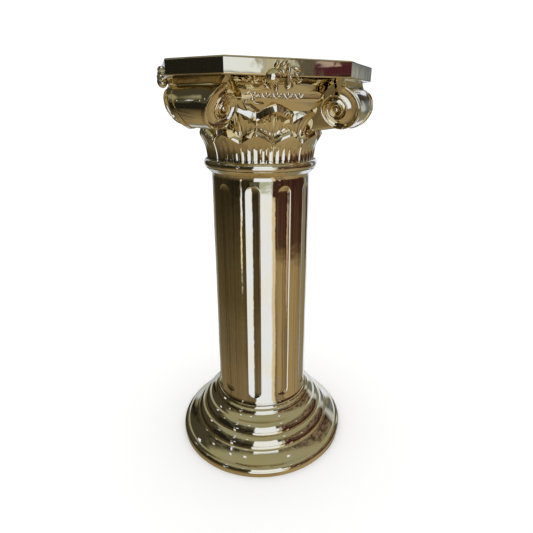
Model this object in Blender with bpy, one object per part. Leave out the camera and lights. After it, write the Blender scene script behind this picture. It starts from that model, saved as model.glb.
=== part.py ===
"""A column pedestal in three moulded pieces: a stepped base, a fluted shaft and a leafy capital.

Metres, +Z up. The origin is the middle of the underside. The slab's front face looks towards -Y.
"""
import math

import bmesh
import bpy
from mathutils import Vector

# Fit between the stacked pieces
JOINT_GAP = 0.0003

# Base: a rounded rim, a hollow flare, two equal steps, a small flare and step, and a thin lip
BASE_FACETS = 36
FOOT_RADIUS = 0.1722
RIM_RADIUS = 0.1728
RIM_HEIGHT = 0.0195
RIM_ROUND = 0.0105
RIM_SWEEP = math.radians(76)
FLARE_RADIUS = 0.1618
FLARE_HEIGHT = 0.0190
FLARE_WIDTH = 0.0180
FLARE_HOLLOW = 0.0012
STEP_COUNT = 2
STEP_RADIUS = 0.1423
STEP_RISE = 0.0200
STEP_TREAD = 0.0155
STEP_WIDTH = 0.0115
STEP_CREASE = 0.0010
STEP_SLOPES = (math.radians(8), math.radians(53))
NECK_FLARE_HEIGHT = 0.0085
NECK_FLARE_WIDTH = 0.0090
NECK_STEP_HEIGHT = 0.0100
NECK_STEP_WIDTH = 0.0045
LIP_HEIGHT = 0.005
LIP_OVERHANG = 0.002
LIP_EASING = 0.0015

# Shaft: a drum with a slight taper, a small flare at both ends and shallow flutes
SHAFT_FACETS = 60
SHAFT_LENGTH = 0.4514
SHAFT_FOOT_RADIUS = 0.0910
SHAFT_TOP_RADIUS = 0.0880
END_FLARE = 0.0016
END_FLARE_LENGTH = 0.006
FLUTE_COUNT = 10
FLUTE_WIDTH = 0.0250
FLUTE_DEPTH = 0.0028
FLUTE_FOOT_MARGIN = 0.0165
FLUTE_TOP_MARGIN = 0.0160
FLUTE_TURN = math.radians(12.2)
FLUTE_FACETS = 16
FLUTE_END_ANGLES = [math.radians(angle) for angle in (20, 38, 56)]

# Capital, from its underside upwards: band, ring, two rows of leaves, panel and slab
COLLAR_FACETS = 34
BAND_HEIGHT = 0.007
BAND_SPREAD = 0.0075
BAND_MARGIN = 0.001
RING_HEIGHT = 0.0145
RING_PROJECTION = 0.0058
LEAF_COUNT = 12
LEAF_RIBS = 5
RIB_DEPTH = 0.0022
ARCH_POINTEDNESS = 1.25
CARVING_TURN = math.radians(-3.2)
LOWER_FOOT_RADIUS = 0.0948
LOWER_VALLEY_RADIUS = 0.1000
LOWER_VALLEY_SHARE = 0.431
LOWER_TIP_RADIUS = 0.1080
LOWER_TIP_SHARE = 0.5474
UPPER_VALLEY_RADIUS = 0.1100
UPPER_VALLEY_SHARE = 0.7241
UPPER_TIP_RADIUS = 0.1215
UPPER_TIP_SHARE = 0.8534
LEAF_EDGE_HEIGHT = 0.0100
LEAF_EDGE_SET_BACK = 0.0050
LOWER_ROWS = ((0.12, 0.08), (0.60, 0.55))
UPPER_ROW = (0.4, 0.5)
PANEL_HEIGHT = 0.1160
PANEL_APOTHEM = 0.1230
PANEL_DIAGONAL = 0.1290
PANEL_LIP = 0.0025
PANEL_ROOT_DEPTH = 0.0162
PANEL_SLOPE_DEPTH = 0.0054
SLAB_HEIGHT = 0.1430
SLAB_THICKNESS = 0.0230
SLAB_APOTHEM = 0.1590
SLAB_DIAGONAL = 0.1760
SLAB_ROUND = 0.0030

# Corner scrolls: a roll that narrows downwards, with a spiral fillet on both cheeks
SCROLL_RADIUS = 0.0363
SCROLL_TIGHTENING = 0.17
SCROLL_INNER_TIGHTENING = 0.085
SCROLL_INNER_TURN = math.radians(138)
SCROLL_TURNS = 2.8
SCROLL_EYE_DISTANCE = 0.1525
SCROLL_EYE_DROP = 0.0408
SCROLL_EYE_RADIUS = 0.0045
SCROLL_HALF_WIDTH = 0.0372
SCROLL_TAPER_UP = 0.442
SCROLL_TAPER_OUT = -0.155
SCROLL_NECK_TURN = math.radians(62)
SCROLL_NECK_SLIMMING = 0.03
SCROLL_TURN = math.radians(-1.1)
ROLL_STEPS = 18
ROLL_END_TURN = math.radians(285)
ROLL_TOP_FRONT_RUN = 0.009
ROLL_NECK_WIDTH = 0.0055
ROOT_TURN = math.radians(95)
ROOT_DISTANCE = 0.0980
ROOT_SHARE = 0.586
ROOT_HALF_WIDTH = 0.0190
ROOT_SPREAD = 0.30
FILLET_HEIGHT = 0.0040
FILLET_SHARE = 0.17
FILLET_SINK = 0.0015
FILLET_LEAST = 0.45
FILLET_STEPS = 9

# Strip of eggs, and the flower on the slab, both on each face
EGG_COUNT = 5
EGG_PITCH = 0.0166
EGG_WIDTH = 0.0100
EGG_HEIGHT = 0.0115
EGG_PROJECTION = 0.0035
EGG_HEIGHT_OFFSET = 0.0086
FLOWER_HEIGHT_OFFSET = 0.0075
FLOWER_HALF_WIDTH = 0.0270
FLOWER_HALF_HEIGHT = 0.0150
FLOWER_PROJECTION = 0.0048
PETAL_COUNT = 5
PETAL_LENGTH = 0.0120
PETAL_WIDTH = 0.0085
FLOWER_SINK = 0.001
BOSS_RADIUS = 0.0051
BOSS_PROJECTION = 0.006

STEPS_FOOT = RIM_HEIGHT + FLARE_HEIGHT
NECK_FOOT = STEPS_FOOT + STEP_COUNT * STEP_RISE
LIP_FOOT = NECK_FOOT + NECK_FLARE_HEIGHT + NECK_STEP_HEIGHT
BASE_HEIGHT = LIP_FOOT + LIP_HEIGHT
SHAFT_FOOT = BASE_HEIGHT + JOINT_GAP
SHAFT_TOP = SHAFT_FOOT + SHAFT_LENGTH
CAPITAL_FOOT = SHAFT_TOP + JOINT_GAP
SCROLL_EYE_HEIGHT = SLAB_HEIGHT - SCROLL_EYE_DROP
KNOB = ((-0.35, 1.0), (0.4, 0.9), (1.0, 0.42))
LOW_KNOB = ((-0.35, 1.0), (1.0, 0.45))
FACE_ANGLES = [side * math.tau / 4 for side in range(4)]


def gold(name):
    """Pale gold plating over moulded resin."""
    material = bpy.data.materials.new(name)
    material.use_nodes = True
    shader = material.node_tree.nodes["Principled BSDF"]
    shader.inputs["Base Color"].default_value = (0.76, 0.66, 0.43, 1)
    shader.inputs["Metallic"].default_value = 1.0
    shader.inputs["Roughness"].default_value = 0.08
    return material


def add_object(name, bm, material=None):
    """Turn a finished bmesh into a named object with outward faces."""
    bmesh.ops.recalc_face_normals(bm, faces=bm.faces)
    mesh = bpy.data.meshes.new(name)
    bm.to_mesh(mesh)
    bm.free()
    obj = bpy.data.objects.new(name, mesh)
    bpy.context.scene.collection.objects.link(obj)
    if material:
        mesh.materials.append(material)
    return obj


def stack(rings):
    """Closed body through rings of equally many points, with a flat face at each end."""
    bm = bmesh.new()
    rows = [[bm.verts.new(point) for point in ring] for ring in rings]
    for lower, upper in zip(rows, rows[1:]):
        for i in range(len(lower)):
            j = (i + 1) % len(lower)
            bm.faces.new((lower[i], lower[j], upper[j], upper[i]))
    bm.faces.new(reversed(rows[0]))
    bm.faces.new(rows[-1])
    return bm


def turned(profile, facets):
    """Closed round body from (radius, height) points, bottom to top."""
    angles = [i * math.tau / facets for i in range(facets)]
    return stack([[(r * math.sin(a), -r * math.cos(a), z) for a in angles] for r, z in profile])


def fuse(target, others, operation="UNION"):
    """Join closed bodies to the target, or cut them from it, and drop them afterwards."""
    for other in others:
        modifier = target.modifiers.new(other.name, "BOOLEAN")
        modifier.operation = operation
        modifier.solver = "EXACT"
        modifier.object = other
        other.hide_render = True
        other.display_type = "WIRE"
    depsgraph = bpy.context.evaluated_depsgraph_get()
    mesh = bpy.data.meshes.new_from_object(target.evaluated_get(depsgraph))
    target.modifiers.clear()
    target.data = mesh
    for other in others:
        bpy.data.objects.remove(other)


def shade(obj, angle=math.radians(32)):
    obj.data.shade_smooth()
    obj.data.set_sharp_from_angle(angle=angle)


def arc(centre_r, centre_z, width, height, start, end, steps):
    """Points of an elliptic arc in the profile plane, angles from the outward direction."""
    turns = [start + (end - start) * i / steps for i in range(steps + 1)]
    return [(centre_r + width * math.cos(t), centre_z + height * math.sin(t)) for t in turns]


def step_face(radius, foot, width, rise, steps):
    """Convex face of a step, from its foot up and inwards between the two stated slopes."""
    low, high = STEP_SLOPES
    across = width / (math.cos(low) - math.cos(high))
    upright = rise / (math.sin(high) - math.sin(low))
    return arc(radius - across * math.cos(low), foot - upright * math.sin(low), across, upright, low, high, steps)


def base_profile():
    points = [(FOOT_RADIUS, 0)]
    points += arc(RIM_RADIUS - RIM_ROUND, RIM_HEIGHT - RIM_ROUND, RIM_ROUND, RIM_ROUND, 0, RIM_SWEEP, 3)
    points.append((FLARE_RADIUS, RIM_HEIGHT + STEP_CREASE / 4))
    middle = (RIM_HEIGHT + STEPS_FOOT) / 2 - FLARE_HOLLOW
    points.append((FLARE_RADIUS - FLARE_WIDTH / 2, middle))
    points.append((FLARE_RADIUS - FLARE_WIDTH, STEPS_FOOT - STEP_CREASE))
    radius = STEP_RADIUS
    for step in range(STEP_COUNT):
        foot = STEPS_FOOT + step * STEP_RISE
        points += step_face(radius, foot, STEP_WIDTH, STEP_RISE - STEP_CREASE, 3)
        radius -= STEP_TREAD
    points.append((radius, NECK_FOOT))
    radius -= NECK_FLARE_WIDTH
    points.append((radius, NECK_FOOT + NECK_FLARE_HEIGHT))
    foot = NECK_FOOT + NECK_FLARE_HEIGHT + STEP_CREASE
    points += step_face(radius, foot, NECK_STEP_WIDTH, LIP_FOOT - STEP_CREASE - foot, 2)
    lip_radius = SHAFT_FOOT_RADIUS + END_FLARE + LIP_OVERHANG
    points += [(lip_radius + LIP_OVERHANG, LIP_FOOT), (lip_radius + LIP_OVERHANG / 2, BASE_HEIGHT - LIP_EASING)]
    points.append((lip_radius, BASE_HEIGHT))
    return points


def make_base():
    obj = add_object("base", turned(base_profile(), BASE_FACETS), gold("gold_base"))
    shade(obj)


def shaft_radius(z):
    return SHAFT_FOOT_RADIUS + (SHAFT_TOP_RADIUS - SHAFT_FOOT_RADIUS) * (z - SHAFT_FOOT) / SHAFT_LENGTH


def flute_cutter(angle):
    """Ball-ended bar that leaves one flute of the stated width and depth."""
    half = FLUTE_WIDTH / 2
    radius_there = (SHAFT_FOOT_RADIUS + SHAFT_TOP_RADIUS) / 2
    bulge = radius_there - math.sqrt(radius_there ** 2 - half ** 2)
    rise = FLUTE_DEPTH - bulge
    ball = (half ** 2 + rise ** 2) / (2 * rise)
    offset = ball - FLUTE_DEPTH
    foot = SHAFT_FOOT + FLUTE_FOOT_MARGIN + half
    top = SHAFT_TOP - FLUTE_TOP_MARGIN - half
    rows = [(ball * math.cos(t), foot - ball * math.sin(t)) for t in reversed(FLUTE_END_ANGLES)]
    rows += [(ball, foot), (ball, top)]
    rows += [(ball * math.cos(t), top + ball * math.sin(t)) for t in FLUTE_END_ANGLES]
    facets = [i * math.tau / FLUTE_FACETS for i in range(FLUTE_FACETS)]
    rings = []
    for r, z in rows:
        centre = shaft_radius(min(max(z, foot), top)) + offset
        place = Vector((math.sin(angle), -math.cos(angle), 0)) * centre
        turns = [angle + facet for facet in facets]
        rings.append([place + Vector((r * math.sin(t), -r * math.cos(t), z)) for t in turns])
    return add_object("flute_cutter", stack(rings))


def make_shaft():
    profile = [
        (SHAFT_FOOT_RADIUS + END_FLARE, SHAFT_FOOT),
        (SHAFT_FOOT_RADIUS + END_FLARE / 4, SHAFT_FOOT + END_FLARE_LENGTH / 2),
        (SHAFT_FOOT_RADIUS, SHAFT_FOOT + END_FLARE_LENGTH),
        (SHAFT_TOP_RADIUS, SHAFT_TOP - END_FLARE_LENGTH),
        (SHAFT_TOP_RADIUS + END_FLARE / 4, SHAFT_TOP - END_FLARE_LENGTH / 2),
        (SHAFT_TOP_RADIUS + END_FLARE, SHAFT_TOP),
    ]
    obj = add_object("shaft", turned(profile, SHAFT_FACETS), gold("gold_shaft"))
    angles = [FLUTE_TURN + i * math.tau / FLUTE_COUNT for i in range(FLUTE_COUNT)]
    fuse(obj, [flute_cutter(angle) for angle in angles], "DIFFERENCE")
    shade(obj)


def arch(turn, shift):
    """1 at a leaf's tip and 0 in the valley between two leaves, for an angle round the bell."""
    leaf = (turn / math.tau * LEAF_COUNT + shift) % 1.0
    return 1 - abs(2 * leaf - 1) ** ARCH_POINTEDNESS


def carved_ring(low, high, shift, rib=0.0):
    """Ring of the bell whose points run between a valley (radius, height) and a tip (radius, height)."""
    columns = LEAF_COUNT * LEAF_RIBS * 2
    first_rib = round(2 * shift * LEAF_RIBS)
    points = []
    for column in range(columns):
        turn = column * math.tau / columns
        share = arch(turn, shift)
        groove = rib if (column + first_rib) % 2 else 0.0
        radius = low[0] + (high[0] - low[0]) * share - groove
        height = CAPITAL_FOOT + low[1] + (high[1] - low[1]) * share
        angle = turn + CARVING_TURN
        points.append((radius * math.sin(angle), -radius * math.cos(angle), height))
    return points


def between(first, second, share):
    """Point between two (radius, height) points."""
    return (first[0] + (second[0] - first[0]) * share, first[1] + (second[1] - first[1]) * share)


def make_bell():
    """The two rows of leaves, each leaf a ribbed face with a turned-up edge."""
    foot = (LOWER_FOOT_RADIUS, BAND_HEIGHT + RING_HEIGHT)
    rings = [carved_ring((foot[0], BAND_HEIGHT), (foot[0], BAND_HEIGHT), 0.0)]
    valley = (LOWER_VALLEY_RADIUS, PANEL_HEIGHT * LOWER_VALLEY_SHARE)
    tip = (LOWER_TIP_RADIUS, PANEL_HEIGHT * LOWER_TIP_SHARE)
    edge_valley = (valley[0] - LEAF_EDGE_SET_BACK, valley[1] + LEAF_EDGE_HEIGHT)
    edge_tip = (tip[0] - LEAF_EDGE_SET_BACK, tip[1] + LEAF_EDGE_HEIGHT)
    for valley_share, tip_share in LOWER_ROWS:
        low, high = between(foot, valley, valley_share), between(foot, tip, tip_share)
        rings.append(carved_ring(low, high, 0.0, RIB_DEPTH))
    rings.append(carved_ring(valley, tip, 0.0))
    rings.append(carved_ring(edge_valley, edge_tip, 0.0))

    valley = (UPPER_VALLEY_RADIUS, PANEL_HEIGHT * UPPER_VALLEY_SHARE)
    tip = (UPPER_TIP_RADIUS, PANEL_HEIGHT * UPPER_TIP_SHARE)
    low, high = between(edge_tip, valley, UPPER_ROW[0]), between(edge_valley, tip, UPPER_ROW[1])
    rings.append(carved_ring(low, high, 0.5, RIB_DEPTH))
    rings.append(carved_ring(valley, tip, 0.5))
    edge_valley = (valley[0], valley[1] + LEAF_EDGE_HEIGHT)
    edge_tip = (tip[0] - LEAF_EDGE_SET_BACK / 2, tip[1] + LEAF_EDGE_HEIGHT * 0.8)
    rings.append(carved_ring(edge_valley, edge_tip, 0.5))
    inner = (edge_valley[0] - LEAF_EDGE_SET_BACK, PANEL_HEIGHT)
    rings.append(carved_ring(inner, inner, 0.5))
    return add_object("capital", stack(rings), gold("gold_capital"))


def make_collar():
    """Sloped band and round ring below the leaves."""
    foot_radius = SHAFT_TOP_RADIUS + END_FLARE + BAND_MARGIN
    ring_top = CAPITAL_FOOT + BAND_HEIGHT + RING_HEIGHT
    profile = [(foot_radius, CAPITAL_FOOT), (foot_radius + BAND_SPREAD, CAPITAL_FOOT + BAND_HEIGHT)]
    profile += arc(LOWER_FOOT_RADIUS, ring_top - RING_HEIGHT / 2, RING_PROJECTION, RING_HEIGHT / 2,
                   math.radians(-60), math.radians(75), 3)
    profile.append((LOWER_FOOT_RADIUS - RIB_DEPTH, ring_top))
    return add_object("collar", turned(profile, COLLAR_FACETS))


def octagon(apothem, diagonal, height):
    """Square with cut corners: half its width over the flats, and over the corners' flats."""
    half = diagonal * math.sqrt(2) - apothem
    corners = [(half, -apothem), (apothem, -half), (apothem, half), (half, apothem)]
    corners += [(-x, -y) for x, y in corners]
    return [(x, y, CAPITAL_FOOT + height) for x, y in corners]


def make_panel_and_slab():
    """Eight-sided upper body: sloped band, strip, cove and the slab with its rounded edges."""
    slab_top = SLAB_HEIGHT + SLAB_THICKNESS
    cove = SLAB_HEIGHT - PANEL_HEIGHT
    reach, corner_reach = SLAB_APOTHEM - PANEL_APOTHEM, SLAB_DIAGONAL - PANEL_DIAGONAL
    levels = [
        (-0.38, PANEL_HEIGHT - PANEL_ROOT_DEPTH),
        (-0.03, PANEL_HEIGHT - PANEL_SLOPE_DEPTH),
        (PANEL_LIP / reach, PANEL_HEIGHT),
        (0.0, PANEL_HEIGHT + 0.12 * cove),
        (0.0, PANEL_HEIGHT + 0.52 * cove),
        (0.12, PANEL_HEIGHT + 0.74 * cove),
        (0.34, PANEL_HEIGHT + 0.89 * cove),
        (0.62, PANEL_HEIGHT + 0.97 * cove),
        (1 - SLAB_ROUND / reach, SLAB_HEIGHT),
        (1.0, SLAB_HEIGHT + SLAB_ROUND),
        (1.0, slab_top - SLAB_ROUND),
        (1 - SLAB_ROUND / reach, slab_top),
    ]
    rings = [octagon(PANEL_APOTHEM + reach * s, PANEL_DIAGONAL + corner_reach * s, z) for s, z in levels]
    return add_object("panel_and_slab", stack(rings))


def scroll_radius(turn):
    """Distance of the spiral from its eye, turn counted from the outermost point."""
    if turn < 0:
        return SCROLL_RADIUS * (1 - SCROLL_NECK_SLIMMING * turn ** 2)
    outer = min(turn, SCROLL_INNER_TURN)
    return SCROLL_RADIUS * math.exp(-SCROLL_TIGHTENING * outer - SCROLL_INNER_TIGHTENING * (turn - outer))


def cheek(distance, height):
    """Half width of the roll at a place in the corner's middle plane, measured from the capital's foot."""
    up, out = height - SCROLL_EYE_HEIGHT, distance - SCROLL_EYE_DISTANCE
    return SCROLL_HALF_WIDTH + SCROLL_TAPER_UP * up + SCROLL_TAPER_OUT * out


def corner_point(angle, distance, across, height):
    """World place of a point given in a corner's middle plane and across it."""
    out = Vector((math.sin(angle), -math.cos(angle), 0))
    side = Vector((math.cos(angle), math.sin(angle), 0))
    return out * distance + side * across + Vector((0, 0, CAPITAL_FOOT + height))


def spiral_point(turn, inset=0.0):
    radius = scroll_radius(turn) - inset
    return (SCROLL_EYE_DISTANCE + radius * math.cos(turn), SCROLL_EYE_HEIGHT - radius * math.sin(turn))


def make_roll(angle):
    """Body of one corner scroll, from the slab round the roll and up its inner side."""
    sweep = ROLL_END_TURN + SCROLL_NECK_TURN
    turns = [-SCROLL_NECK_TURN + sweep * i / ROLL_STEPS for i in range(ROLL_STEPS + 1)]
    outline = [spiral_point(turn) for turn in turns]
    slab_inside = SLAB_HEIGHT + SLAB_THICKNESS / 3
    outline.insert(0, (outline[0][0] - ROLL_TOP_FRONT_RUN, slab_inside))
    outline.append((outline[0][0] - ROLL_NECK_WIDTH, slab_inside))
    sides = []
    for side in (-1, 1):
        sides.append([corner_point(angle, d, side * (cheek(d, z) - FILLET_HEIGHT), z) for d, z in outline])
    return add_object("roll", stack(sides))


def make_root(angle):
    """Web that ties a roll to the bell behind it and widens upwards under the slab."""
    under = spiral_point(ROOT_TURN)
    foot = PANEL_HEIGHT * ROOT_SHARE
    slab_inside = SLAB_HEIGHT + SLAB_THICKNESS / 4
    outline = [(ROOT_DISTANCE, foot), (under[0], under[1] + FILLET_HEIGHT / 4)]
    outline += [(under[0], slab_inside), (ROOT_DISTANCE, slab_inside)]
    widths = [ROOT_HALF_WIDTH + ROOT_SPREAD * (z - foot) for _, z in outline]
    sides = []
    for side in (-1, 1):
        sides.append([corner_point(angle, d, side * width, z) for (d, z), width in zip(outline, widths)])
    return add_object("root", stack(sides))


def make_fillet(angle, side):
    """Raised spiral on one cheek, thinner towards the eye."""
    count = round(SCROLL_TURNS * FILLET_STEPS)
    start = -SCROLL_NECK_TURN * 1.12
    rings = []
    for i in range(count + 1):
        turn = start + (SCROLL_TURNS * math.tau - start) * i / count
        width = FILLET_SHARE * scroll_radius(turn)
        height = FILLET_HEIGHT * (FILLET_LEAST + (1 - FILLET_LEAST) * scroll_radius(turn) / SCROLL_RADIUS)
        ring = []
        for inset, rise in ((0.0, -FILLET_SINK), (width / 4, height), (width, -FILLET_SINK)):
            d, z = spiral_point(turn, inset)
            ring.append(corner_point(angle, d, side * (cheek(d, z) - FILLET_HEIGHT + rise), z))
        rings.append(ring)
    return add_object("fillet", stack(rings))


def dome(centre, along, across, out, facets, name, levels=KNOB):
    """Low rounded knob on a surface, its rings given as shares of its height and width."""
    rings = []
    angles = [i * math.tau / facets for i in range(facets)]
    for level, size in levels:
        middle = centre + out * level
        rings.append([middle + (along * math.cos(a) + across * math.sin(a)) * size for a in angles])
    return add_object(name, stack(rings))


def make_eye(angle, side):
    d, z = SCROLL_EYE_DISTANCE, SCROLL_EYE_HEIGHT
    centre = corner_point(angle, d, side * (cheek(d, z) - FILLET_HEIGHT), z)
    out = corner_point(angle, d, side * (cheek(d, z) - FILLET_HEIGHT / 4), z) - centre
    tangent = corner_point(angle, d + SCROLL_EYE_RADIUS, side * cheek(d + SCROLL_EYE_RADIUS, z), z)
    tangent -= corner_point(angle, d, side * cheek(d, z), z)
    rise = corner_point(angle, d, side * cheek(d, z + SCROLL_EYE_RADIUS), z + SCROLL_EYE_RADIUS)
    rise -= corner_point(angle, d, side * cheek(d, z), z)
    return dome(centre, tangent, rise, out, 6, "eye", LOW_KNOB)


def face_frame(angle):
    """Directions of one face: along it, and out of it."""
    return Vector((math.cos(angle), math.sin(angle), 0)), Vector((math.sin(angle), -math.cos(angle), 0))


def make_eggs(angle):
    along, out = face_frame(angle)
    shift = math.tan(CARVING_TURN) * PANEL_APOTHEM
    height = CAPITAL_FOOT + PANEL_HEIGHT + EGG_HEIGHT_OFFSET
    eggs = []
    for i in range(EGG_COUNT):
        place = shift + (i - (EGG_COUNT - 1) / 2) * EGG_PITCH
        centre = along * place + out * PANEL_APOTHEM + Vector((0, 0, height))
        up = Vector((0, 0, EGG_HEIGHT / 2))
        eggs.append(dome(centre, along * EGG_WIDTH / 2, up, out * EGG_PROJECTION, 6, "egg", LOW_KNOB))
    return eggs


def make_flower(angle):
    """Flower that overlaps the slab's face: petals round a centre boss."""
    along, out = face_frame(angle)
    shift = math.tan(CARVING_TURN) * SLAB_APOTHEM
    middle = along * shift + out * (SLAB_APOTHEM - FLOWER_SINK)
    middle += Vector((0, 0, CAPITAL_FOOT + SLAB_HEIGHT + FLOWER_HEIGHT_OFFSET))
    up = Vector((0, 0, 1))
    bodies = []
    for i in range(PETAL_COUNT):
        a = math.radians(90) + (i + 0.5) * math.tau / PETAL_COUNT
        direction = along * math.cos(a) + up * math.sin(a)
        reach_x, reach_z = FLOWER_HALF_WIDTH - PETAL_LENGTH, FLOWER_HALF_HEIGHT - PETAL_WIDTH
        centre = middle + along * reach_x * math.cos(a) + up * reach_z * math.sin(a)
        cross = along * -math.sin(a) + up * math.cos(a)
        length, width = direction * PETAL_LENGTH, cross * PETAL_WIDTH
        bodies.append(dome(centre, length, width, out * FLOWER_PROJECTION, 6, "petal"))
    width, height = along * BOSS_RADIUS, up * BOSS_RADIUS
    bodies.append(dome(middle, width, height, out * BOSS_PROJECTION, 5, "boss", LOW_KNOB))
    return bodies


def make_capital():
    capital = make_bell()
    extras = [make_collar(), make_panel_and_slab()]
    for face in FACE_ANGLES:
        corner = face + math.tau / 8 + SCROLL_TURN
        extras += [make_roll(corner), make_root(corner)]
        for side in (-1, 1):
            extras += [make_fillet(corner, side), make_eye(corner, side)]
        extras += make_eggs(face)
        extras += make_flower(face)
    fuse(capital, extras)
    shade(capital)


for old in list(bpy.data.objects):
    bpy.data.objects.remove(old)
make_base()
make_shaft()
make_capital()
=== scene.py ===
"""A corinthian column pedestal in pale gold plating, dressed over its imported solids.

Metres, +Z up. The origin is the middle of the underside. The slab's front face looks towards -Y.
"""
import math

import bmesh
import bpy
from mathutils import Matrix, Vector, noise


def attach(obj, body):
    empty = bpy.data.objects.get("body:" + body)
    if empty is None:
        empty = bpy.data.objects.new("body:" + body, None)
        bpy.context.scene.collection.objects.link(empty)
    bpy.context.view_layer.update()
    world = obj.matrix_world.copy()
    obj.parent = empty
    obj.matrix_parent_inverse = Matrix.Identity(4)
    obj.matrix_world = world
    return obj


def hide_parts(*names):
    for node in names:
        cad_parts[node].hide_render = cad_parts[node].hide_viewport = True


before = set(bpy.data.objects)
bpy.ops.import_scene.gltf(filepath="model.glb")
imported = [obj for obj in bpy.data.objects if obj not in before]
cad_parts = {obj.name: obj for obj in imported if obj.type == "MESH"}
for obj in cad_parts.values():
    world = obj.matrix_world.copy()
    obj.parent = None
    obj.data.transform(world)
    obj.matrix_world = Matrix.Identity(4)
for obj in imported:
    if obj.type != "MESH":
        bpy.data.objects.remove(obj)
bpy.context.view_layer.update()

# ---------------------------------------------------------------- Base
# The foot is one resin casting from a turned pattern: a rounded rim, a slightly hollow flare, two
# rounded steps, a small flare and step, and a thin lip. It was filled and rubbed down by hand before
# it was plated, so its mirror surface is a little wavy.
FOOT_RADIUS = 0.1722
RIM_RADIUS = 0.1728
RIM_HEIGHT = 0.0195
RIM_ROUND = 0.0105
FLARE_RADIUS = 0.1618
FLARE_HEIGHT = 0.0190
FLARE_WIDTH = 0.0180
FLARE_HOLLOW = 0.0007
STEP_COUNT = 2
STEP_RADIUS = 0.1423
STEP_RISE = 0.0200
STEP_TREAD = 0.0155
STEP_WIDTH = 0.0115
CREASE = 0.0010
STEP_SLOPES = (math.radians(8), math.radians(53))
NECK_FLARE_HEIGHT = 0.0085
NECK_FLARE_WIDTH = 0.0090
NECK_STEP_HEIGHT = 0.0100
NECK_STEP_WIDTH = 0.0045
LIP_HEIGHT = 0.005
LIP_RADIUS = 0.0946
BASE_HEIGHT = 0.102
BASE_TURNS = 240
BASE_WAVE_DEPTH = 0.00022
BASE_WAVE_LENGTH = 0.055
BASE_RIPPLE = 0.00022
BASE_CREASE_DEGREES = 20
QUARTER = math.pi / 2
RIM_WRAP = 0.84 * QUARTER
PLATING_TINT = (0.76, 0.66, 0.43)


def arc(centre, size, start, end, steps):
    """Points of an elliptic arc in the profile plane, angles from the outward direction."""
    turns = [start + (end - start) * i / steps for i in range(steps + 1)]
    return [(centre[0] + size[0] * math.cos(t), centre[1] + size[1] * math.sin(t)) for t in turns]


def line(first, last, steps):
    """Points on a straight stretch of a profile, without the first one."""
    return [tuple(a + (b - a) * i / steps for a, b in zip(first, last)) for i in range(1, steps + 1)]


def spun(profile, steps):
    """Closed round body: a profile wire of (radius, height) points, spun about the column's axis."""
    bm = bmesh.new()
    wire = [bm.verts.new((0, -radius, height)) for radius, height in profile]
    edges = [bm.edges.new(pair) for pair in zip(wire, wire[1:])]
    bmesh.ops.spin(bm, geom=wire + edges, cent=(0, 0, 0), axis=(0, 0, 1), angle=math.tau,
                   steps=steps, use_merge=True)
    bmesh.ops.remove_doubles(bm, verts=bm.verts, dist=1e-6)
    bmesh.ops.holes_fill(bm, edges=[e for e in bm.edges if e.is_boundary], sides=0)
    bmesh.ops.recalc_face_normals(bm, faces=bm.faces)
    return bm


def hand_rubbed(bm, depth, length, low, high):
    """Slow waves of a hand-rubbed casting, left out at the joints below low and above high."""
    bm.normal_update()
    for vert in bm.verts:
        if low < vert.co.z < high:
            vert.co += vert.normal * depth * noise.noise(vert.co / length)


def finished(name, bm, node, material, crease=32):
    """One visible piece from its mesh: smooth with crisp creases, in place of its solid."""
    mesh = bpy.data.meshes.new(name)
    bm.to_mesh(mesh)
    bm.free()
    piece = bpy.data.objects.new(name, mesh)
    bpy.context.scene.collection.objects.link(piece)
    mesh.shade_smooth()
    mesh.set_sharp_from_angle(angle=math.radians(crease))
    mesh.materials.append(material)
    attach(piece, "root")
    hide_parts(node)


class Wire:
    """A node's output in a material, with arithmetic on values written as plain expressions."""

    def __init__(self, tree, socket):
        self.tree = tree
        self.socket = socket

    def node(self, kind, settings=None, output=0, **links):
        """A new node of a kind: its settings first, then values or wires by input name or number."""
        made = self.tree.nodes.new(kind)
        for key, value in (settings or {}).items():
            if key == "stops":
                ramp = made.color_ramp
                while len(ramp.elements) < len(value):
                    ramp.elements.new(0.5)
                for element, (place, colour) in zip(ramp.elements, value):
                    element.position = place
                    element.color = (*colour, 1)
            else:
                setattr(made, key, value)
        for key, value in links.items():
            target = made.inputs[int(key[1:])] if key[0] == "i" and key[1:].isdigit() else made.inputs[key]
            if isinstance(value, Wire):
                self.tree.links.new(value.socket, target)
            else:
                target.default_value = value
        return Wire(self.tree, made.outputs[output])

    def math(self, operation, first, second=0.0):
        return self.node("ShaderNodeMath", {"operation": operation}, i0=first, i1=second)

    def __add__(self, other):
        return self.math("ADD", self, other)

    def __mul__(self, other):
        return self.math("MULTIPLY", self, other)

    def __truediv__(self, other):
        return self.math("DIVIDE", self, other)

    def __radd__(self, other):
        return self.math("ADD", other, self)

    def __rsub__(self, other):
        return self.math("SUBTRACT", other, self)

    def __rmul__(self, other):
        return self.math("MULTIPLY", other, self)

    def ease(self, low, high):
        """0 below low, 1 above high, smooth between."""
        return self.node("ShaderNodeMapRange", {"interpolation_type": "SMOOTHSTEP"}, i0=self, i1=low, i2=high)

    def blend(self, first, second):
        """Colour mixed from first to second by this value."""
        return self.node("ShaderNodeMix", {"data_type": "RGBA"}, output=2, i0=self, i6=first, i7=second)


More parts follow.
